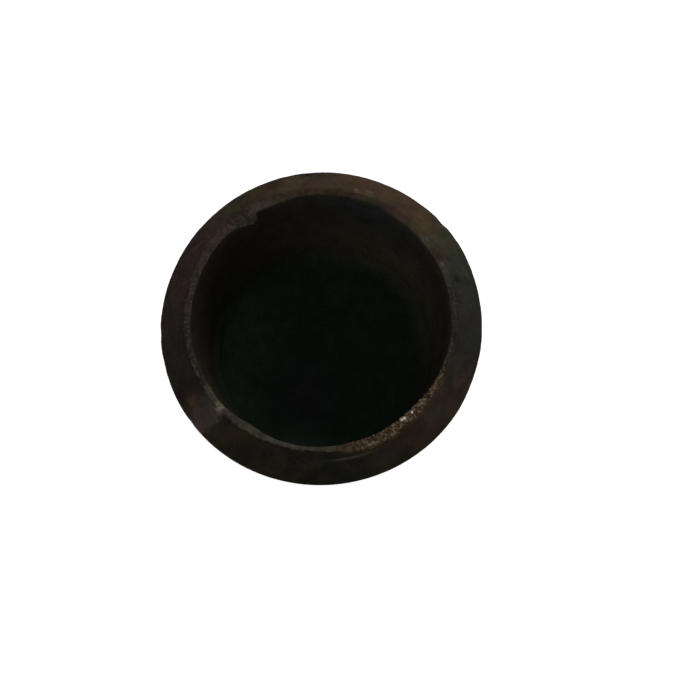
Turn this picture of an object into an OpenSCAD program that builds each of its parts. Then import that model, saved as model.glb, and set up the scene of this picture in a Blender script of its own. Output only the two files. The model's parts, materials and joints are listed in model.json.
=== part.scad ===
// Butt-weld pipe cap, formed in one piece: a straight collar with a bevelled weld end,
// closed by a semi-ellipsoidal head. The cap stands on its crown, mouth up.
// The origin is the centre of the weld face, and +Z points out of the mouth.

/* [Collar] */
// Outside diameter, the same as the pipe's
outside_d = 48.3; // [42.2:0.1:73]
// Wall thickness of the collar and the head
wall = 5.08; // [3.6:0.01:7]
// Length from the weld face to the outside of the crown
cap_length = 38.1; // [36:0.1:60]

/* [Weld end] */
// Width of the flat land on the weld face
land = 1.1; // [0.8:0.1:2.4]
// Angle between the bevel and the plane of the weld face
bevel_angle = 37.5; // [30:0.5:40]

/* [Head] */
// Inside radius of the head divided by its inside depth
head_ratio = 2; // [1.9:0.05:2.6]
// Radius of the small flat that the press leaves on the outside of the crown
crown_flat_r = 4; // [2:0.5:8]

/* [Quality] */
// Straight steps in each quarter ellipse of the head
curve_steps = 32; // [12:4:64]
// Facets around the cap in the preview
facets = 180; // [48:12:360]

/* [Hidden] */
outside_r = outside_d / 2;
bore_r = outside_r - wall;
head_depth = bore_r / head_ratio;
// How far the collar runs before it curves into the head
straight_l = cap_length - wall - head_depth;
bevel_setback = (wall - land) * tan(bevel_angle);
// The outer ellipse runs a little past the crown's flat, which cuts it at this angle
flat_angle = acos(crown_flat_r / outside_r);
outer_depth = (head_depth + wall) / sin(flat_angle);
$fn = facets;

// Points of an ellipse below the collar: 0 degrees is where the collar ends, 90 is the axis
function head_curve(radius, depth, from, to) = [
    for (i = [0:curve_steps])
        let (a = from + (to - from) * i / curve_steps)
        [radius * cos(a), -straight_l - depth * sin(a)]
];

// Half of the cap's cross-section, from the axis out
module half_section()
{
    crown = [[0, -cap_length]];
    outer_head = head_curve(outside_r, outer_depth, flat_angle, 0);
    weld_end = [
        [outside_r, -bevel_setback],
        [bore_r + land, 0],
        [bore_r, 0]
    ];
    inner_head = head_curve(bore_r, head_depth, 0, 90);
    polygon(concat(crown, outer_head, weld_end, inner_head));
}

module cap()
{
    color("#3a342c")
        rotate_extrude()
            half_section();
}

cap();
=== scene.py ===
"""A butt-weld pipe cap of dark forged steel, standing on its crown and seen from above, into its mouth.

The cap is one body of revolution, built here ring by ring and then roughened along its own normals:
a forged skin outside, a turned bevel and land at the weld end, and a scaled bore and head inside.
Shapes are worked out in millimetres and written to the mesh in metres. Angles turn from +X towards +Y,
and "out" is the distance from the bore's wall towards the outside. Colours are linear.
"""
import json
import math

import bpy
import numpy as np
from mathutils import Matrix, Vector, noise


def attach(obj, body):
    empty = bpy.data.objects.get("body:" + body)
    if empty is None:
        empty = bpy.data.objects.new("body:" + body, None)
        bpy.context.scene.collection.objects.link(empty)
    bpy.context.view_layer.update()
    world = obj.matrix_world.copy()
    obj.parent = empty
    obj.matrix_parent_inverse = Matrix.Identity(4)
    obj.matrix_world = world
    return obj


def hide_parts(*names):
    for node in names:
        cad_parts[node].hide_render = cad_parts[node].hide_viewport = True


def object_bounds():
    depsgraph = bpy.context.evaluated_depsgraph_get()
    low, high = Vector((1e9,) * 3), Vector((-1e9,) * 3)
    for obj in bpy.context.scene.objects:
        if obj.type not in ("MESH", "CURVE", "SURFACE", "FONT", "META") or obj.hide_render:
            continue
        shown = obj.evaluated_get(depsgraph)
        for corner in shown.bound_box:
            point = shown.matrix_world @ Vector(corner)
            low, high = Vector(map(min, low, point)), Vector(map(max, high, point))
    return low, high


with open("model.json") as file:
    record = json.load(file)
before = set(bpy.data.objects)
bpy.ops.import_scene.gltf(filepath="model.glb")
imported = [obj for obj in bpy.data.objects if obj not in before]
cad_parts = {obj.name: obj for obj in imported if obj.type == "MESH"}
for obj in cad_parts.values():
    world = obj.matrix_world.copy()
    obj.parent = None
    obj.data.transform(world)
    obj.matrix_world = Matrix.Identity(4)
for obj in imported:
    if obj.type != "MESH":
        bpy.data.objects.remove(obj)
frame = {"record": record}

cad_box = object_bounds()

# ---------------------------------------------------------------- sizes, from the frame's record

MM = 0.001
mounts = {m["name"]: m for m in frame["record"]["mounts"]}
BORE_R = mounts["bore"]["dims"]["r_mm"]
STRAIGHT = mounts["bore"]["dims"]["length_mm"]
OUTSIDE_R = mounts["collar"]["dims"]["r_mm"]
SETBACK = STRAIGHT - mounts["collar"]["dims"]["length_mm"]
LAND = 2 * (mounts["weld_face"]["pos_m"][0] / MM - BORE_R)
LENGTH = -cad_box[0].z / MM
WALL = OUTSIDE_R - BORE_R
HEAD_DEPTH = LENGTH - STRAIGHT - WALL
CROWN_FLAT = 4.0
FLAT_ANGLE = math.acos(CROWN_FLAT / OUTSIDE_R)
OUTER_DEPTH = (LENGTH - STRAIGHT) / math.sin(FLAT_ANGLE)

# ---------------------------------------------------------------- how finely the mesh is cut

AROUND = 768          # points round a fine ring
COARSER = 3           # a coarse ring has this many times fewer
WALL_STEP = 0.62      # spacing of the coarse rings
FINE_STEP = 0.155     # spacing of the fine rings
FINE_WALL = 1.3       # how far the fine rings run down the outside, below the bevel
FINE_BORE = 2.6       # how far they run down the bore
CROWN_RINGS = 6       # rings across the crown's flat
FOOT_STEPS = 6        # rings round the bevel's foot, half of them on the outside
LAND_STEPS = 3        # rings round the land's outer corner
MOUTH_STEPS = 8       # rings round the mouth's edge
MOUTH_FACE_STEPS = 5  # how many of those belong to the face

# Zones of the surface
OUTSIDE, BEVEL, FACE, INSIDE = range(4)


def hump(gap, width):
    """1 where the gap is 0, and falling off smoothly over the width."""
    return np.exp(-((gap / width) ** 2))


def turn_from(theta, centre_deg):
    """How far each angle is past the centre, in radians, between minus and plus half a turn."""
    return np.angle(np.exp(1j * (theta - math.radians(centre_deg))))


def near_angle(theta, centre_deg, width_deg):
    """A smooth hump round an angle: 1 at the centre, and falling off over the width."""
    return hump(turn_from(theta, centre_deg), math.radians(width_deg))


def hills(theta, heights):
    """A sum of humps round the cap, each with its own height."""
    return sum(height * near_angle(theta, centre, width) for height, centre, width in heights)


def waves(theta, heights):
    """A sum of waves round the cap, each with its own height, number of crests and phase."""
    return sum(height * np.sin(crests * theta + phase) for height, crests, phase in heights)


def step(low, high, x):
    """A smooth step from 0 at low to 1 at high."""
    t = np.clip((x - low) / (high - low), 0.0, 1.0)
    return t * t * (3.0 - 2.0 * t)


# ---------------------------------------------------------------- the weld end's outline, angle by angle

# Humps and hollows round the cap: height in millimetres, then angle and width in degrees
LAND_HILLS = [
    (0.38, 136, 18), (0.46, 293, 13), (0.10, 20, 25), (-0.34, 258, 20), (-0.16, 214, 16), (-0.26, 340, 14),
]
MOUTH_ROUND_HILLS = [(0.75, 208, 22), (0.40, 72, 34)]
FOOT_HILLS = [(0.60, 240, 26), (1.00, 302, 20), (0.35, 30, 18)]
LIP_HILLS = [
    (0.08, 31, 5), (0.24, 54, 24), (0.10, 84, 10), (0.28, 112, 11), (0.12, 155, 16), (0.06, 181, 10),
    (0.24, 208, 11), (0.32, 239, 9), (0.26, 316, 8), (-0.17, 354, 20),
]
SWELL_HILLS = [
    (0.12, 262, 60), (0.08, 85, 40), (-0.15, 355, 20), (-0.14, 152, 22), (0.14, 305, 16), (-0.08, 140, 12),
]
# Waves round the mouth's edge, and finer ones where it is crusted: height, how many, and phase
LIP_WAVES = [(0.04, 5, 1.0), (0.03, 11, 0.0)]
CRUSTED_WAVES = [(0.05, 97, 2.0), (0.04, 151, 0.0), (0.03, 211, 1.0)]
LAND_WEAR = 0.32      # how far the land's outer corner is worn back all round
LIP = 0.20            # how far the mouth's edge hangs into the bore all round
MOUTH_ROUND = 0.22    # radius of the mouth's edge where it is crisp
LAND_ROUND = 0.16     # rounding of the land's outer corner
FOOT_ROUND = 0.28     # rounding of the bevel's foot, away from the bottom of the ring


def land_width(theta):
    """How far the land reaches out from the bore: its outer corner is worn back, unevenly."""
    return LAND - LAND_WEAR + hills(theta, LAND_HILLS)


def mouth_round(theta):
    """Radius of the land's inner edge: crisp, but worn soft over the lower left."""
    return MOUTH_ROUND + hills(theta, MOUTH_ROUND_HILLS)


def foot_round(theta):
    """Rounding of the bevel's foot: sharper at the bottom of the ring."""
    return FOOT_ROUND - 0.16 * near_angle(theta, 290, 50)


def setback(theta):
    """How far down the outside the bevel starts: less where the ring looks widest in the photo."""
    return SETBACK - hills(theta, FOOT_HILLS)


def lip(theta):
    """How far the ragged edge of the mouth hangs into the bore."""
    crusted = waves(theta, CRUSTED_WAVES) * near_angle(theta, 312, 18)
    return LIP + waves(theta, LIP_WAVES) + hills(theta, LIP_HILLS) + crusted


def between(p, q, count):
    """Points from p towards q, each a pair of arrays over the angle. The last point, q, is left out."""
    return [(p[0] + (q[0] - p[0]) * i / count, p[1] + (q[1] - p[1]) * i / count) for i in range(count)]


def rounded(p, corner, q, count):
    """A quadratic curve from p to q that stays inside the corner, without its last point."""
    points = []
    for i in range(count):
        t = i / count
        points.append(tuple((1 - t) ** 2 * p[k] + 2 * t * (1 - t) * corner[k] + t * t * q[k] for k in (0, 1)))
    return points


def towards(p, q, distance):
    """The point at a distance from p on the way to q."""
    length = np.hypot(q[0] - p[0], q[1] - p[1])
    return tuple(p[k] + (q[k] - p[k]) * distance / length for k in (0, 1))


def steps(distance, size):
    """How many steps of about this size cover the distance."""
    return max(2, round(distance / size))


def ellipse_rings(radius, depth, start, end, size):
    """Rings down a quarter ellipse below the collar, from one angle to another."""
    count = steps(abs(end - start) * (radius + depth) / 2, size)
    angles = [start + (end - start) * i / count for i in range(count)]
    return [(radius * math.cos(a), -STRAIGHT - depth * math.sin(a)) for a in angles]


class Section:
    """The rings from the crown, up the outside, over the weld end and down inside to the head's middle.

    Each row is (zone, fine or not, radius, height), with radius and height as arrays over the angle.
    """

    def __init__(self, theta):
        self.theta = theta
        self.one = np.ones_like(theta)
        self.rows = []
        self.foot = (OUTSIDE_R * self.one, -setback(theta))
        self.land_edge = (BORE_R + land_width(theta), 0 * self.one)
        self.mouth = (BORE_R - lip(theta), 0 * self.one)
        self.bore_top = (BORE_R * self.one, -FINE_BORE * self.one)
        self.wall_top = (OUTSIDE_R * self.one, -(SETBACK + FINE_WALL) * self.one)
        self.add_outside()
        self.add_bevel()
        self.add_land()
        self.add_bore()

    def add(self, zone, fine, points):
        """Adds a row for each point, which may be a pair of numbers or of arrays."""
        self.rows.extend((zone, fine, r * self.one, z * self.one) for r, z in points)

    def add_outside(self):
        crown = [(CROWN_FLAT * i / CROWN_RINGS, -LENGTH) for i in range(1, CROWN_RINGS)]
        collar_end = (OUTSIDE_R * self.one, -STRAIGHT * self.one)
        collar = STRAIGHT - SETBACK - FINE_WALL
        self.add(OUTSIDE, False, crown)
        self.add(OUTSIDE, False, ellipse_rings(OUTSIDE_R, OUTER_DEPTH, FLAT_ANGLE, 0.0, WALL_STEP))
        self.add(OUTSIDE, False, between(collar_end, self.wall_top, steps(collar, WALL_STEP)))

    def add_bevel(self):
        before_foot = towards(self.foot, self.wall_top, foot_round(self.theta))
        after_foot = towards(self.foot, self.land_edge, foot_round(self.theta))
        self.add(OUTSIDE, True, between(self.wall_top, before_foot, steps(FINE_WALL - FOOT_ROUND, FINE_STEP)))
        curve = rounded(before_foot, self.foot, after_foot, FOOT_STEPS)
        self.add(OUTSIDE, True, curve[:FOOT_STEPS // 2])
        self.add(BEVEL, True, curve[FOOT_STEPS // 2:])
        before_land = towards(self.land_edge, self.foot, LAND_ROUND)
        slope = math.hypot(WALL - LAND, SETBACK)
        self.add(BEVEL, True, between(after_foot, before_land, steps(slope, FINE_STEP)))

    def add_land(self):
        before_land = towards(self.land_edge, self.foot, LAND_ROUND)
        after_land = towards(self.land_edge, self.mouth, LAND_ROUND)
        before_mouth = towards(self.mouth, self.land_edge, 0.7 * mouth_round(self.theta))
        after_mouth = towards(self.mouth, self.bore_top, mouth_round(self.theta))
        self.add(FACE, True, rounded(before_land, self.land_edge, after_land, LAND_STEPS))
        self.add(FACE, True, between(after_land, before_mouth, steps(LAND, FINE_STEP)))
        curve = rounded(before_mouth, self.mouth, after_mouth, MOUTH_STEPS)
        self.add(FACE, True, curve[:MOUTH_FACE_STEPS])
        self.add(INSIDE, True, curve[MOUTH_FACE_STEPS:])
        self.add(INSIDE, True, between(after_mouth, self.bore_top, steps(FINE_BORE, 1.3 * FINE_STEP)))

    def add_bore(self):
        bore_end = (BORE_R * self.one, -STRAIGHT * self.one)
        self.add(INSIDE, False, between(self.bore_top, bore_end, steps(STRAIGHT - FINE_BORE, WALL_STEP)))
        self.add(INSIDE, False, ellipse_rings(BORE_R, HEAD_DEPTH, 0.0, math.pi / 2, 1.2 * WALL_STEP))


def cloud(points, size, octaves, seed):
    """Smooth noise in -1 to 1 whose largest lumps are about size millimetres across."""
    scaled = points / size + seed * 17.3
    return np.array([noise.fractal(Vector(p), 1.0, 2.0, octaves) for p in scaled])


def cells(points, size, seed):
    """Distance to the nearest of many scattered points, 0 at a point and about 1 between them."""
    scaled = points / size + seed * 9.1
    return np.array([noise.voronoi(Vector(p))[0][0] for p in scaled])


# Sizes of the lumps in the noise that shapes and colours share
BROAD = 11.0
MEDIUM = 3.2
FINE = 0.8


class Surface:
    """The cap's points, before roughening: where each one is, which way it faces, and its zone."""

    def __init__(self):
        theta = np.arange(AROUND) * 2 * math.pi / AROUND
        rows = Section(theta).rows
        radius = np.array([row[2] for row in rows])
        height = np.array([row[3] for row in rows])
        along_r = np.gradient(radius, axis=0)
        along_z = np.gradient(height, axis=0)
        length = np.hypot(along_r, along_z)
        run = np.cumsum(length, axis=0)
        self.rings, picked = [], []
        count = 0
        for k, (zone, fine, _, _) in enumerate(rows):
            columns = np.arange(0, AROUND, 1 if fine else COARSER)
            self.rings.append((count, len(columns)))
            picked.append(np.stack([np.full(len(columns), k), columns, np.full(len(columns), zone)]))
            count += len(columns)
        row, column, self.zone = np.concatenate(picked, axis=1)
        self.theta = theta[column]
        self.r = radius[row, column]
        self.z = height[row, column]
        self.out = self.r - BORE_R
        self.nr = (along_z / length)[row, column]
        self.nz = (-along_r / length)[row, column]
        self.run = run[row, column]
        self.zones_of_rings = [zone for zone, _, _, _ in rows]
        self.sample_noise()

    def sample_noise(self):
        """Noise at three sizes, which shapes and colours share. The finest is 0 away from the mouth."""
        p = self.points()
        near_end = self.z > -(SETBACK + FINE_WALL + 0.1)
        self.broad = cloud(p, BROAD, 3, seed=1)
        self.medium = cloud(p, MEDIUM, 4, seed=2)
        self.fine = np.zeros(len(p))
        self.fine[near_end] = cloud(p[near_end], FINE, 3, seed=3)

    def points(self):
        return np.stack([self.r * np.cos(self.theta), self.r * np.sin(self.theta), self.z], axis=1)

    def normals(self):
        return np.stack([self.nr * np.cos(self.theta), self.nr * np.sin(self.theta), self.nz], axis=1)


# ---------------------------------------------------------------- roughness of the surface, in millimetres

ALONG_AXIS = 0.07        # the drawn marks are this many times as wide as they are long
TOOL_PITCH = 0.46        # between the rings that the turning tool left
CRUST_ANGLE = 311        # middle of the coarse rust, at the lower right of the mouth
CRUST_WIDTH = 27         # degrees
CRUST_GRAIN = 0.42       # between grains
LINE_ANGLE = 283         # the thin raised line on the bevel, at the bottom of the ring
LINE_OUT = 1.74          # from the bore's wall
BURR_ANGLE = 125         # the lump of metal at the upper left of the mouth
BURR_SIZE = 1.35
BURR_STEEP = 2.2         # degrees on its right side
BURR_GENTLE = 8.2        # degrees on its left side

# Small dents: angle, out, radius and depth
DENTS = [
    (75, 1.4, 0.45, 0.16), (69, 1.5, 0.40, 0.13), (25, 1.5, 0.45, 0.16), (15.6, 1.7, 0.60, 0.28),
    (219, 1.2, 0.90, 0.22), (221, 2.6, 1.00, 0.14), (150, 3.3, 0.70, 0.16), (262, 4.2, 0.80, 0.14),
    (340, 3.0, 0.90, 0.20), (96, 4.4, 0.70, 0.18), (40, 4.9, 0.90, 0.16), (186, 4.7, 0.80, 0.12),
]


def forged_move(s):
    """The forged skin: soft undulation, marks drawn along the axis, islands of scale and a few pits."""
    points = s.points()
    islands = step(-0.02, 0.10, s.medium + 0.4 * s.broad)
    pits = step(0.42, 0.60, cloud(points, 1.9, 2, seed=5))
    drawn = cloud(points * (1.0, 1.0, ALONG_AXIS), 2.1, 3, seed=6)
    rough = 0.08 * s.broad + 0.03 * islands - 0.10 * pits + 0.06 * drawn + 0.02 * s.fine
    return rough - 0.03 + hills(s.theta, SWELL_HILLS)


def turned_move(s):
    """The turned bevel: shallow tool rings, slow waviness and a fine grain."""
    rings = np.sin(2 * math.pi * (s.run / TOOL_PITCH + 0.25 * s.broad))
    rough = 0.009 * rings + 0.05 * s.broad + 0.035 * s.medium + 0.022 * s.fine
    return rough - 0.03 + 0.5 * hills(s.theta, SWELL_HILLS)


def land_move(s):
    """The land: worn a little below the face, and uneven."""
    return 0.04 * s.medium + 0.035 * s.fine - 0.05


def bore_move(s):
    """The bore and the hollow: uneven scale."""
    return 0.10 * s.broad + 0.07 * s.medium + 0.05 * s.fine


def crust_cover(s):
    """How fully the coarse rust covers each point: it lies on the land and a little way into the bore."""
    machined = (s.zone == BEVEL) | (s.zone == FACE)
    by_mouth = step(0.30, -0.20, s.out - land_width(s.theta) + 0.35 * s.fine) * machined
    by_mouth = np.maximum(by_mouth, step(-1.8, -0.2, s.z) * (s.zone == INSIDE))
    return step(0.10, 0.75, near_angle(s.theta, CRUST_ANGLE, CRUST_WIDTH)) * by_mouth


def crust_move(s, crust):
    """The coarse rust's grains stand up from a surface that it has eaten away."""
    grains = np.zeros(len(crust))
    crusty = crust > 0.02
    grains[crusty] = 1.0 - 1.5 * cells(s.points()[crusty], CRUST_GRAIN, seed=1)
    return crust * (0.16 * grains - 0.07)


def raised_line(s):
    """The raised line at the bottom of the bevel, and the grooves on each side of it: two humps, 0 to 1."""
    along = near_angle(s.theta, LINE_ANGLE, 8) * (s.zone == BEVEL)
    off = s.out + 0.10 * s.medium - LINE_OUT
    return along * hump(off, 0.13), along * hump(np.abs(off) - 0.50, 0.22)


def roughen(s, crust):
    """How far each point moves along its normal. The zones are listed in their own order."""
    by_zone = [forged_move(s), turned_move(s), land_move(s), bore_move(s)]
    line, grooves = raised_line(s)
    return np.choose(s.zone, by_zone) + crust_move(s, crust) + 0.08 * line - 0.07 * grooves


def burr(s, points):
    """The lump of metal that hangs into the mouth at the upper left, steeper on its right side."""
    gap = np.degrees(turn_from(s.theta, BURR_ANGLE))
    across = np.where(gap < 0, np.exp(-((gap / BURR_STEEP) ** 4)), hump(gap, BURR_GENTLE))
    down = step(-4.2, -0.4, s.z) * (s.zone == INSIDE) + step(1.0, 0.0, s.out) * (s.zone == FACE)
    size = BURR_SIZE * across * down
    points[:, 0] -= size * np.cos(s.theta)
    points[:, 1] -= size * np.sin(s.theta)
    points[:, 2] -= 0.35 * size * (s.zone == FACE)


def dent(s, points):
    """Presses in the small dents, each along the surface's own normals."""
    for angle, out, radius, depth in DENTS:
        a, r = math.radians(angle), BORE_R + out
        height = -max(0.0, out - LAND) * SETBACK / (WALL - LAND)
        centre = np.array([r * math.cos(a), r * math.sin(a), height])
        gap = np.linalg.norm(points - centre, axis=1)
        points -= (depth * hump(gap, radius))[:, None] * s.normals()


def inside_cad_box(points):
    """Keeps the outside within the CAD model's box: metal is lost to scale and wear, never gained."""
    radius = np.hypot(points[:, 0], points[:, 1])
    shrink = np.minimum(1.0, OUTSIDE_R / np.maximum(radius, 0.01))
    points[:, :2] *= shrink[:, None]
    points[:, 2] = np.clip(points[:, 2], -LENGTH, 0.0)


def faces_between(rings, zones):
    """Faces that join each ring to the next, with their zones. Fine and coarse rings meet three to one."""
    faces, face_zones = [], []
    for (start, count), (next_start, next_count), zone in zip(rings, rings[1:], zones[1:]):
        if count == next_count:
            ring_faces = equal_faces(start, next_start, count)
        elif count < next_count:
            ring_faces = unequal_faces(start, count, next_start, next_count)
        else:
            ring_faces = [face[::-1] for face in unequal_faces(next_start, next_count, start, count)]
        faces += ring_faces
        face_zones += [zone] * len(ring_faces)
    return faces, face_zones


def equal_faces(start, next_start, count):
    """Four-sided faces between two rings of as many points."""
    turns = [(i, (i + 1) % count) for i in range(count)]
    return [(start + i, start + j, next_start + j, next_start + i) for i, j in turns]


def unequal_faces(coarse, coarse_count, fine, fine_count):
    """Faces between a coarse ring and a fine one with three times its points."""
    faces = []
    for i in range(coarse_count):
        j = (i + 1) % coarse_count
        f = [fine + (COARSER * i + k) % fine_count for k in range(4)]
        faces += [(coarse + i, f[1], f[0]), (coarse + i, coarse + j, f[2], f[1]), (coarse + j, f[3], f[2])]
    return faces


def cap_mesh():
    s = Surface()
    crust = crust_cover(s)
    points = s.points() + roughen(s, crust)[:, None] * s.normals()
    burr(s, points)
    dent(s, points)
    inside_cad_box(points)
    faces, zones = faces_between(s.rings, s.zones_of_rings)
    # A fan closes the crown outside, and another the middle of the head inside
    bottom, middle = len(points), len(points) + 1
    points = np.vstack([points, [[0, 0, -LENGTH], [0, 0, -LENGTH + WALL]]])
    first, count = s.rings[0]
    last, last_count = s.rings[-1]
    faces += [(bottom, first + (i + 1) % count, first + i) for i in range(count)]
    faces += [(middle, last + i, last + (i + 1) % last_count) for i in range(last_count)]
    zones += [OUTSIDE] * count + [INSIDE] * last_count
    mesh = bpy.data.meshes.new("pipe_cap")
    mesh.from_pydata((points * MM).tolist(), [], faces)
    material_of = {OUTSIDE: 0, BEVEL: 1, FACE: 1, INSIDE: 2}
    mesh.polygons.foreach_set("material_index", [material_of[z] for z in zones])
    mesh.polygons.foreach_set("use_smooth", [True] * len(faces))
    paint(mesh, s, crust)
    return mesh


# ---------------------------------------------------------------- colours of the weld end and the inside

# Colours of the film on the bevel and on the land: angle and spread in degrees, then colour. The bevel's
# colours are partly stains and partly painted light and shade, lighter over the top of the ring and darkest
# at its bottom.
BEVEL_STAINS_AND_PAINTED_LIGHT = [
    (0, 14, (0.024, 0.023, 0.018)), (30, 11, (0.042, 0.040, 0.021)), (50, 12, (0.056, 0.034, 0.017)),
    (82, 20, (0.050, 0.029, 0.015)), (118, 14, (0.024, 0.0125, 0.0030)), (138, 10, (0.021, 0.010, 0.0015)),
    (162, 13, (0.027, 0.012, 0.0100)), (195, 18, (0.017, 0.012, 0.008)), (222, 9, (0.022, 0.017, 0.009)),
    (248, 14, (0.023, 0.017, 0.009)), (272, 9, (0.0090, 0.0085, 0.0060)), (295, 12, (0.022, 0.017, 0.0095)),
    (322, 12, (0.034, 0.021, 0.0135)), (345, 8, (0.021, 0.018, 0.012)),
]
LAND_STAINS = [
    (5, 18, (0.041, 0.038, 0.029)), (32, 12, (0.085, 0.073, 0.048)), (55, 14, (0.068, 0.052, 0.030)),
    (90, 22, (0.050, 0.034, 0.021)), (108, 8, (0.056, 0.046, 0.036)), (122, 5, (0.070, 0.066, 0.050)),
    (137, 10, (0.058, 0.041, 0.031)), (165, 20, (0.050, 0.037, 0.028)), (200, 14, (0.036, 0.032, 0.025)),
    (212, 8, (0.026, 0.020, 0.018)), (224, 6, (0.080, 0.071, 0.047)), (236, 9, (0.058, 0.048, 0.038)),
    (257, 14, (0.073, 0.076, 0.050)), (290, 14, (0.052, 0.033, 0.018)), (315, 14, (0.070, 0.050, 0.031)),
    (342, 14, (0.026, 0.021, 0.016)),
]
# Small stains, bright spots and two painted highlights: angle, out, radius, strength and colour
MARKS = [
    (75, 3.1, 1.1, 0.7, (0.064, 0.026, 0.006)), (75.7, 1.5, 0.22, 0.85, (0.115, 0.090, 0.055)),
    (69.8, 1.9, 0.32, 0.9, (0.15, 0.130, 0.075)), (69, 0.4, 0.8, 0.7, (0.036, 0.036, 0.014)),
    (62, 3.1, 1.2, 0.6, (0.046, 0.025, 0.009)), (53, 3.0, 1.0, 0.6, (0.052, 0.026, 0.007)),
    (45, 3.2, 0.9, 0.6, (0.050, 0.027, 0.010)), (52, 0.9, 1.0, 0.6, (0.066, 0.041, 0.024)),
    (42, 1.4, 0.9, 0.6, (0.066, 0.043, 0.025)), (36, 3.6, 1.3, 0.8, (0.025, 0.032, 0.011)),
    (31, 1.4, 0.9, 0.7, (0.037, 0.034, 0.017)), (27, 0.5, 0.6, 0.7, (0.047, 0.022, 0.009)),
    (23.8, 0.55, 0.24, 0.95, (0.17, 0.150, 0.11)), (23, 3.0, 1.1, 0.7, (0.021, 0.026, 0.021)),
    (14.3, 1.0, 0.24, 0.8, (0.005, 0.005, 0.005)), (7, 1.9, 1.2, 0.6, (0.021, 0.021, 0.018)),
    (14, 3.6, 1.4, 0.7, (0.021, 0.021, 0.016)), (57, 4.3, 1.6, 0.75, (0.041, 0.032, 0.014)),
    (334, 2.8, 1.0, 0.7, (0.062, 0.032, 0.029)), (343, 2.2, 1.0, 0.7, (0.030, 0.029, 0.024)),
    (323, 2.6, 1.1, 0.6, (0.044, 0.040, 0.028)), (316, 2.4, 1.2, 0.45, (0.050, 0.046, 0.036)),
    (306, 3.0, 1.3, 0.5, (0.044, 0.024, 0.019)), (296, 2.6, 1.2, 0.5, (0.018, 0.023, 0.019)),
    (285, 4.3, 2.0, 0.85, (0.010, 0.010, 0.008)), (301, 4.4, 1.5, 0.6, (0.015, 0.014, 0.011)),
    (243, 4.0, 1.4, 0.5, (0.014, 0.012, 0.008)),
    # Painted highlights: two bright spots on the land at the lower left
    (224.6, 0.35, 0.36, 0.9, (0.30, 0.285, 0.19)), (222.6, 0.35, 0.34, 0.9, (0.25, 0.235, 0.14)),
    (215, 3.2, 0.7, 0.7, (0.084, 0.050, 0.028)), (100, 2.9, 0.8, 0.5, (0.066, 0.036, 0.020)),
    (129, 3.0, 1.6, 0.9, (0.031, 0.021, 0.002)), (114, 2.3, 0.7, 0.5, (0.046, 0.029, 0.022)),
    (139, 3.2, 1.2, 0.8, (0.031, 0.020, 0.003)), (118, 3.5, 1.1, 0.8, (0.038, 0.026, 0.006)),
]
# Painted highlights on grains at the edge of the mouth, coloured near-white: angle, out and radius
PAINTED_GLINTS = [(307.7, 0.02, 0.20), (309.1, 0.10, 0.20), (313.2, 0.10, 0.20)]
GREY_SIDE = 8         # the angle where the ring is an even grey
SMEAR_ANGLE = 222
SMEAR = (0.070, 0.054, 0.040)
RUST_BLEED = (0.062, 0.033, 0.014)
# Painted highlight along the raised line on the bevel
LINE_HIGHLIGHT = (0.062, 0.068, 0.050)
BORE_BROWN = (0.046, 0.042, 0.028)
MORE_BLUE = (0.05, 0.15, 0.75)
DEEP_BLACK = (0.033, 0.056, 0.037)
PAINTED_LIGHT_GREY = (0.050, 0.053, 0.053)
# Painted light and shade in the head's hollow, where it is lighter or darker than the rest: by how much, x,
# y, and half-widths along them
HEAD_PAINTED_LIGHT = [(0.55, -17, 3, 7, 11), (-0.12, -3, -15, 12, 5), (-0.36, -11, -14, 6, 5)]


def blend(base, amount, colour):
    """Base colours, moved towards another colour by an amount at each point."""
    return base * (1 - amount)[:, None] + np.asarray(colour) * amount[:, None]


def stained(theta, stains):
    """Blends a list of stains round the cap."""
    total, weights = np.zeros((len(theta), 3)), np.zeros(len(theta))
    for angle, spread, colour in stains:
        weight = near_angle(theta, angle, spread) + 1e-6
        total += weight[:, None] * np.array(colour)
        weights += weight
    return total / weights[:, None]


def near_point(s, angle, out, radius, wobble):
    """1 at a point on the weld end, and falling off over the radius, which the wobble makes uneven."""
    a, r = math.radians(angle), BORE_R + out
    gap = np.hypot(s.r * np.cos(s.theta) - r * math.cos(a), s.r * np.sin(s.theta) - r * math.sin(a))
    return hump(gap * np.clip(1 + wobble, 0.6, 1.6), radius) * step(-4.0, -3.2, s.z)


def land_share(s):
    """1 on the land and 0 on the bevel. Its edge is plain in most places, and fades over the upper left."""
    blur = 0.13 + 0.45 * near_angle(s.theta, 118, 26)
    edge = (s.out - land_width(s.theta) + 0.22 * s.fine) / blur
    return step(1, -1, edge) * step(-0.5, -0.1, s.z)


def smeared(s, bevel, wander):
    """A pale smear runs out over the bevel at the lower left, and ends sharply beside a darker band of
    painted shadow.
    """
    turn = np.degrees(turn_from(s.theta + wander * 0.2, SMEAR_ANGLE))
    smear = step(5.5, 3.0, turn) * step(-7.0, -1.0, turn) * step(0.3, 1.2, s.out) * 0.85
    # Painted shadow: a darker band beside the smear
    painted_shadow_band = hump(turn - 8.0, 2.5) * step(3.6, 0.8, s.out)
    return blend(bevel, smear, SMEAR) * (1 - 0.50 * painted_shadow_band)[:, None]


def marked(s, bevel, land):
    """Adds the small stains and bright spots, to the land only where they lie on it or are small."""
    ragged = 0.9 * s.medium + 0.6 * s.fine
    for angle, out, radius, strength, colour in MARKS:
        mark = strength * near_point(s, angle, out, radius, ragged)
        bevel = blend(bevel, mark, colour)
        if out < 1.0 or radius < 0.4:
            land = blend(land, mark, colour)
    return bevel, land


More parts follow.
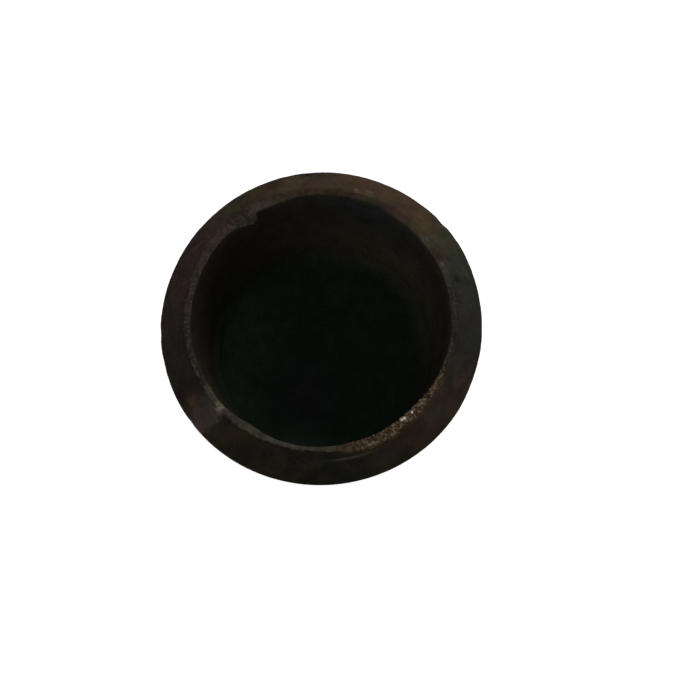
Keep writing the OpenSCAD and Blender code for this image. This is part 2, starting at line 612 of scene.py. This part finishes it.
def ring_films(s):
    """Colours of the bevel's film and of the land's, each worked out at every point."""
    evenness = 1 - 0.65 * near_angle(s.theta, GREY_SIDE, 20)
    wander = np.radians(18.0 * s.medium + 5.0 * s.fine) * evenness
    mottle = 1 + 0.30 * cloud(s.points(), 1.2, 2, seed=9)
    land = stained(s.theta + wander * 0.6, LAND_STAINS) * mottle[:, None]
    # The bevel's colour carries painted light and shade as well as its stains
    bevel = smeared(s, stained(s.theta + wander, BEVEL_STAINS_AND_PAINTED_LIGHT), wander)
    bevel, land = marked(s, bevel, land)
    # The coarse rust bleeds a little way out over the bevel
    bleed = 0.6 * near_angle(s.theta, 309, 21) * hump(s.out - land_width(s.theta) - 0.25, 0.28)
    bevel = blend(bevel, bleed, RUST_BLEED)
    # Painted highlight: the raised line is coloured lighter
    line, _ = raised_line(s)
    return blend(bevel, line, LINE_HIGHLIGHT), land


def film_hue(s):
    """Patches where the film is redder, and others where it is greener, as a factor for each channel."""
    red = cloud(s.points(), 3.6, 2, seed=7)
    green = cloud(s.points(), 2.9, 2, seed=8)
    hue = np.column_stack([0.42 * red, 0.22 * red + 0.16 * green, 0.30 * red - 0.20 * green])
    return 1 + hue * (1 - 0.85 * near_angle(s.theta, GREY_SIDE, 22))[:, None]


def head_tone(s):
    """The head's hollow: green-black, with a painted pool of light on its bottom and spots of painted light
    and shade.
    """
    x, y = s.r * np.cos(s.theta), s.r * np.sin(s.theta)
    # Painted light: a greyer pool on the hollow's bottom
    painted_light_patch = 0.95 * hump(x + 3.5, 5.5) * hump(y + 7.5, 6.5)
    # Painted light and shade, spot by spot
    level = np.ones(len(x))
    for more, at_x, at_y, half_x, half_y in HEAD_PAINTED_LIGHT:
        level += more * hump(x - at_x, half_x) * hump(y - at_y, half_y)
    return blend(np.array(DEEP_BLACK), painted_light_patch, PAINTED_LIGHT_GREY) * level[:, None]


def bore_tone(s, land):
    """The bore: brown on its walls, painted lighter towards the upper right and more so further down, and
    darker on the lower left, as painted light and shade; the head's green-black below.
    """
    # Painted shade: the brown gives way to the head's green-black higher up on the left
    depth = step(-23.5, -28.5, s.z + 1.0 * s.broad - 8.5 * near_angle(s.theta, 195, 55))
    # Painted light and shade: the walls are painted lighter towards the upper right, more so further down,
    # and darker on the lower left
    far_side_painted_light = 1 + 2.4 * near_angle(s.theta, 50, 80) * step(-3, -21, s.z)
    painted_wall_light = (0.54 + 0.38 * near_angle(s.theta, 50, 95)) * far_side_painted_light
    bluish = near_angle(s.theta, 66, 32) * step(-14, -3, s.z)
    brown = np.array(BORE_BROWN) * (1 + bluish[:, None] * np.array(MORE_BLUE))
    bore = blend(brown * painted_wall_light[:, None], depth, head_tone(s))
    under_lip = 0.7 * step(-1.2, -0.1, s.z)
    return blend(bore, under_lip, 0.7 * land)


def surface_layers(s, crust, on_land):
    """How rusty and crusted each point is, and where the painted highlights on the land and on the mouth's
    grains lie, for the materials to read.
    """
    rust = np.clip(0.5 + 0.9 * s.medium + 0.5 * s.broad, 0, 1)
    rust *= 1 - 0.85 * near_angle(s.theta, GREY_SIDE, 22) * (s.zone != OUTSIDE)
    # Painted highlights: bright beads on the land, fewer over the upper right
    beads = on_land * (1 - 0.8 * near_angle(s.theta, 60, 55))
    # Painted highlights: near-white spots on the grains at the mouth's edge
    glint = sum(near_point(s, angle, out, radius, 0.5 * s.fine) for angle, out, radius in PAINTED_GLINTS)
    return {"rust": rust, "crust": np.clip(crust, 0, 1), "beads": beads, "glint": np.clip(glint, 0, 1)}


def paint(mesh, s, crust):
    """Writes the mesh's colour and layers. The mesh's last two points close the crown and the hollow."""
    on_land = land_share(s)
    bevel, land = ring_films(s)
    ring = blend(bevel, on_land, land) * film_hue(s)
    tone = np.where((s.zone == INSIDE)[:, None], bore_tone(s, land), ring)
    rgb = np.append(tone, [DEEP_BLACK, DEEP_BLACK], axis=0)
    rgba = np.column_stack([rgb, np.ones(len(rgb))])
    colours = mesh.attributes.new("tone", "FLOAT_COLOR", "POINT")
    colours.data.foreach_set("color", rgba.ravel().astype(np.float32))
    for name, values in surface_layers(s, crust, on_land).items():
        layer = mesh.attributes.new(name, "FLOAT", "POINT")
        layer.data.foreach_set("value", np.append(values, [0.0, 0.0]).astype(np.float32))


# ---------------------------------------------------------------- materials

MILL_SCALE = (0.017, 0.0155, 0.0140)
MILL_SCALE_PALE = (0.027, 0.0235, 0.0200)
DRAWN_MARK = (0.038, 0.032, 0.026)
WORN_SCALE = (0.042, 0.032, 0.024)
SKIN_RUST = (0.075, 0.036, 0.017)
PIT_BLACK = (0.008, 0.006, 0.005)
SPECKLE = (0.050, 0.024, 0.012)
BEAD_HIGHLIGHT = (0.120, 0.100, 0.072)
# Rust grains: golden-brown, with painted shade towards each grain's foot and a painted sheen on some grains
GRAIN_TOP = (0.122, 0.078, 0.043)
GRAIN_SHADED_FOOT = (0.045, 0.025, 0.011)
GRAIN_PAINTED_SHINE = (0.262, 0.197, 0.132)
# Colour of the painted highlights on the grains at the mouth's edge
GLINT_HIGHLIGHT = (0.980, 0.860, 0.730)
FLOOR_PALE = (0.80, 0.80, 0.80)
FLOOR_MOTTLE = (0.78, 0.78, 0.78)
WHITE = (1.0, 1.0, 1.0, 1.0)


class Nodes:
    """A material's node tree, with short calls for the nodes that these materials use."""

    def __init__(self, name):
        self.material = bpy.data.materials.new(name)
        self.material.use_nodes = True
        self.tree = self.material.node_tree
        self.shader = self.tree.nodes["Principled BSDF"]
        self.place = self.tree.nodes.new("ShaderNodeTexCoord").outputs["Object"]

    def link(self, source, socket):
        self.tree.links.new(source, socket)

    def finish(self, colour, roughness, specular, normal):
        """Joins the finished colour, roughness and normal to the shader."""
        self.link(colour, self.shader.inputs["Base Color"])
        self.link(roughness, self.shader.inputs["Roughness"])
        self.link(normal, self.shader.inputs["Normal"])
        self.shader.inputs["Metallic"].default_value = 0.0
        self.shader.inputs["Specular IOR Level"].default_value = specular
        return self.material

    def attribute(self, name):
        node = self.tree.nodes.new("ShaderNodeAttribute")
        node.attribute_name = name
        return node.outputs["Fac"]

    def tone(self):
        """The film's colour from the mesh, mottled lighter and darker."""
        node = self.tree.nodes.new("ShaderNodeAttribute")
        node.attribute_name = "tone"
        coarse = self.spread(self.noise(2.6, 4), 0.32, 0.68, 0.82, 1.18)
        grain = self.spread(self.noise(0.45, 3), 0.30, 0.70, 0.88, 1.12)
        scale = self.tree.nodes.new("ShaderNodeVectorMath")
        scale.operation = "SCALE"
        self.link(node.outputs["Color"], scale.inputs[0])
        self.link(self.times(coarse, grain), scale.inputs["Scale"])
        return scale.outputs["Vector"]

    def noise(self, size_mm, detail=4.0, roughness=0.55, along_axis=1.0):
        """Noise with lumps of this size. A small along_axis draws them out along the cap's axis."""
        node = self.tree.nodes.new("ShaderNodeTexNoise")
        stretch = self.tree.nodes.new("ShaderNodeVectorMath")
        stretch.operation = "MULTIPLY"
        self.link(self.place, stretch.inputs[0])
        stretch.inputs[1].default_value = (1.0, 1.0, along_axis)
        self.link(stretch.outputs["Vector"], node.inputs["Vector"])
        node.inputs["Scale"].default_value = 1.0 / (size_mm * MM)
        node.inputs["Detail"].default_value = detail
        node.inputs["Roughness"].default_value = roughness
        return node.outputs["Fac"]

    def crystals(self, size_mm):
        """Scattered grains: how far each point is from its grain's middle, and a level for each grain."""
        node = self.tree.nodes.new("ShaderNodeTexVoronoi")
        self.link(self.place, node.inputs["Vector"])
        node.inputs["Scale"].default_value = 1.0 / (size_mm * MM)
        return node.outputs["Distance"], node.outputs["Color"]

    def spread(self, value, low, high, to_low=0.0, to_high=1.0):
        """Stretches a value so that low becomes to_low and high becomes to_high, and clamps it there."""
        node = self.tree.nodes.new("ShaderNodeMapRange")
        self.link(value, node.inputs["Value"])
        node.inputs["From Min"].default_value = low
        node.inputs["From Max"].default_value = high
        node.inputs["To Min"].default_value = to_low
        node.inputs["To Max"].default_value = to_high
        return node.outputs["Result"]

    def times(self, a, b):
        """a multiplied by b, where b is a socket or a number."""
        node = self.tree.nodes.new("ShaderNodeMath")
        node.operation = "MULTIPLY"
        self.link(a, node.inputs[0])
        if isinstance(b, float):
            node.inputs[1].default_value = b
        else:
            self.link(b, node.inputs[1])
        return node.outputs["Value"]

    def mix(self, amount, a, b):
        """a where amount is 0 and b where it is 1. Each is a socket or a colour's three numbers."""
        node = self.tree.nodes.new("ShaderNodeMix")
        node.data_type = "RGBA"
        self.link(amount, node.inputs["Factor"])
        for colour, socket in ((a, node.inputs[6]), (b, node.inputs[7])):
            if isinstance(colour, tuple):
                socket.default_value = (*colour, 1.0)
            else:
                self.link(colour, socket)
        return node.outputs[2]

    def rust_grains(self):
        """Coarse golden rust, lighter at each grain's top and darker at its foot as painted shade; some
        grains get a painted sheen, and the rest are dull brown.
        """
        distance, level = self.crystals(0.27)
        body = self.mix(self.spread(distance, 0.15, 0.60), GRAIN_TOP, GRAIN_SHADED_FOOT)
        patches = self.spread(self.noise(0.9, 3), 0.36, 0.60, 0.3, 1.0)
        painted_shine = self.times(self.spread(level, 0.46, 0.68), patches)
        # Painted highlights on the near-white grains at the mouth's edge
        glint = self.spread(self.attribute("glint"), 0.25, 0.55)
        return self.mix(glint, self.mix(painted_shine, body, GRAIN_PAINTED_SHINE), GLINT_HIGHLIGHT)

    def bump(self, height, depth_mm, below=None):
        """A normal for this height, on top of the one below."""
        node = self.tree.nodes.new("ShaderNodeBump")
        node.inputs["Distance"].default_value = depth_mm * MM
        self.link(height, node.inputs["Height"])
        if below is not None:
            self.link(below, node.inputs["Normal"])
        return node.outputs["Normal"]


def forged_skin():
    """The outside: dark mill scale, dull, with marks drawn along the axis and soft patches of thin rust."""
    m = Nodes("forged_skin")
    drift = m.spread(m.noise(13.0, 3), 0.35, 0.65)
    drawn = m.spread(m.noise(1.6, 5, 0.6, 0.06), 0.40, 0.66)
    worn = m.times(m.spread(m.noise(2.4, 7, 0.66), 0.50, 0.62), 0.55)
    rusty = m.times(m.spread(m.noise(3.6, 8, 0.68), 0.50, 0.66), m.attribute("rust"))
    pitted = m.spread(m.noise(0.60, 4), 0.64, 0.70)
    colour = m.mix(drift, MILL_SCALE, MILL_SCALE_PALE)
    colour = m.mix(m.times(drawn, 0.45), colour, DRAWN_MARK)
    colour = m.mix(worn, colour, WORN_SCALE)
    colour = m.mix(m.times(rusty, 0.75), colour, SKIN_RUST)
    colour = m.mix(m.times(pitted, 0.7), colour, PIT_BLACK)
    bare = m.spread(m.noise(0.9, 6), 0.3, 0.7, 0.40, 0.58)
    roughness = m.mix(rusty, bare, (0.78, 0.78, 0.78))
    grain = m.bump(m.noise(0.28, 5), 0.04)
    pits = m.bump(m.spread(pitted, 0, 1, 1, 0), 0.10, grain)
    flaked = m.bump(m.spread(worn, 0, 0.55, 1, 0), 0.05, pits)
    return m.finish(colour, roughness, 0.26, m.bump(drawn, 0.06, flaked))


def turned_end():
    """The bevel and the land: turned steel under a thin brown and grey film, crusted at the lower right."""
    m = Nodes("turned_end")
    speckle = m.spread(m.noise(0.6, 6), 0.52, 0.64)
    beads = m.spread(m.noise(0.55, 3), 0.50, 0.64)
    colour = m.mix(m.times(speckle, m.times(m.attribute("rust"), 0.4)), m.tone(), SPECKLE)
    # Painted highlights on the bright beads over the land
    colour = m.mix(m.times(m.times(beads, 0.65), m.attribute("beads")), colour, BEAD_HIGHLIGHT)
    colour = m.mix(m.attribute("crust"), colour, m.rust_grains())
    roughness = m.spread(m.noise(1.1, 5), 0.3, 0.7, 0.62, 0.82)
    grain = m.bump(m.noise(0.22, 4), 0.03)
    return m.finish(colour, roughness, 0.06, m.bump(m.noise(0.9, 5), 0.06, grain))


def scaled_inside():
    """The bore and the head's hollow: dull scale, brown near the mouth and green-black deeper down."""
    m = Nodes("scaled_inside")
    colour = m.mix(m.attribute("crust"), m.tone(), m.rust_grains())
    roughness = m.spread(m.noise(1.3, 5), 0.3, 0.7, 0.62, 0.82)
    grain = m.bump(m.noise(0.4, 5), 0.06)
    return m.finish(colour, roughness, 0.08, m.bump(m.noise(1.8, 5), 0.12, grain))


# ---------------------------------------------------------------- the stage

CAMERA_DISTANCE = 91.3 * MM    # from the middle of the mouth
CAMERA_ELEVATION = 74.8        # degrees
CAMERA_AZIMUTH = -79.8
CAMERA_ROLL = -2.9
SENSOR = 36.0                  # millimetres
LENS = 33.17                   # millimetres
AIM = Vector((3.04, -3.89, 0.0)) * MM
FLOOR_HALF = 6.0               # metres
TABLE_GLOW = 0.85
GLOW_IN_PAINTED_SHADOW = 0.35          # share of the glow that is left under the middle of the cap, in the painted contact shadow
PAINTED_SHADOW_INNER = 2 * MM             # the glow rises out of the painted contact shadow from here
PAINTED_SHADOW_OUTER = 24 * MM             # and is full from here
HORIZON = 0.96                 # brightness of the pale wall
OVERHEAD = 0.22
WALL_TOP = 0.36                # sine of the elevation where the wall has faded to OVERHEAD


def direction(azimuth, elevation):
    """A unit vector. Azimuth turns from +X towards +Y, and both angles are in degrees."""
    a, e = math.radians(azimuth), math.radians(elevation)
    return Vector((math.cos(a) * math.cos(e), math.sin(a) * math.cos(e), math.sin(e)))


def make_camera():
    data = bpy.data.cameras.new("photo_camera")
    data.sensor_width = SENSOR
    data.lens = LENS
    data.clip_start = 0.002
    data.clip_end = 20.0
    camera = bpy.data.objects.new("photo_camera", data)
    camera.location = direction(CAMERA_AZIMUTH, CAMERA_ELEVATION) * CAMERA_DISTANCE
    camera.rotation_euler = (AIM - camera.location).to_track_quat("-Z", "Y").to_euler()
    camera.rotation_euler.rotate_axis("Z", math.radians(CAMERA_ROLL))
    bpy.context.scene.collection.objects.link(camera)
    bpy.context.scene.camera = camera


def pale_table_with_painted_shadow():
    """A pale surface that glows a little, with a painted contact shadow: it glows less under the cap."""
    m = Nodes("pale_floor")
    m.link(m.mix(m.noise(60.0, 3), FLOOR_PALE, FLOOR_MOTTLE), m.shader.inputs["Base Color"])
    m.shader.inputs["Roughness"].default_value = 0.8
    m.shader.inputs["Specular IOR Level"].default_value = 0.2
    m.shader.inputs["Emission Color"].default_value = WHITE
    away = m.tree.nodes.new("ShaderNodeVectorMath")
    away.operation = "LENGTH"
    m.link(m.place, away.inputs[0])
    # Painted contact shadow: the glow is weaker under the cap
    glow = m.spread(away.outputs["Value"], PAINTED_SHADOW_INNER, PAINTED_SHADOW_OUTER, TABLE_GLOW * GLOW_IN_PAINTED_SHADOW, TABLE_GLOW)
    m.link(glow, m.shader.inputs["Emission Strength"])
    return m.material


def make_floor():
    h = FLOOR_HALF
    mesh = bpy.data.meshes.new("floor")
    mesh.from_pydata([(-h, -h, 0), (h, -h, 0), (h, h, 0), (-h, h, 0)], [], [(0, 1, 2, 3)])
    mesh.materials.append(pale_table_with_painted_shadow())
    floor = bpy.data.objects.new("floor", mesh)
    floor.location.z = -LENGTH * MM
    bpy.context.scene.collection.objects.link(floor)


def make_light(name, azimuth, elevation, distance, size, power):
    """A square soft light that faces the cap. The distance and size are in metres."""
    data = bpy.data.lights.new(name, "AREA")
    data.shape = "SQUARE"
    data.size = size
    data.energy = power
    light = bpy.data.objects.new(name, data)
    light.location = direction(azimuth, elevation) * distance
    light.rotation_euler = (-light.location).to_track_quat("-Z", "Y").to_euler()
    bpy.context.scene.collection.objects.link(light)


def make_world():
    """A pale wall all round that darkens overhead, where the photographer's camera and hand are."""
    world = bpy.data.worlds.new("studio")
    world.use_nodes = True
    tree = world.node_tree
    around = tree.nodes.new("ShaderNodeTexCoord").outputs["Generated"]
    split = tree.nodes.new("ShaderNodeSeparateXYZ")
    tree.links.new(around, split.inputs["Vector"])
    fade = tree.nodes.new("ShaderNodeMapRange")
    fade.interpolation_type = "SMOOTHSTEP"
    tree.links.new(split.outputs["Z"], fade.inputs["Value"])
    fade.inputs["From Min"].default_value = 0.0
    fade.inputs["From Max"].default_value = WALL_TOP
    fade.inputs["To Min"].default_value = HORIZON
    fade.inputs["To Max"].default_value = OVERHEAD
    tree.links.new(fade.outputs["Result"], tree.nodes["Background"].inputs["Strength"])
    tree.nodes["Background"].inputs["Color"].default_value = WHITE
    bpy.context.scene.world = world


def light_the_stage():
    make_world()
    make_light("key", 62, 30, 0.9, 0.5, 2.5)
    make_light("fill", 235, 40, 1.2, 0.9, 0.3)
    view = bpy.context.scene.view_settings
    view.view_transform = "Standard"
    view.look = "None"


# ---------------------------------------------------------------- the cap

make_camera()
make_floor()
light_the_stage()

cap = bpy.data.objects.new("forged_cap", cap_mesh())
for surface in (forged_skin(), turned_end(), scaled_inside()):
    cap.data.materials.append(surface)
bpy.context.scene.collection.objects.link(cap)
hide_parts("cap")
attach(cap, "root")

bpy.context.view_layer.update()
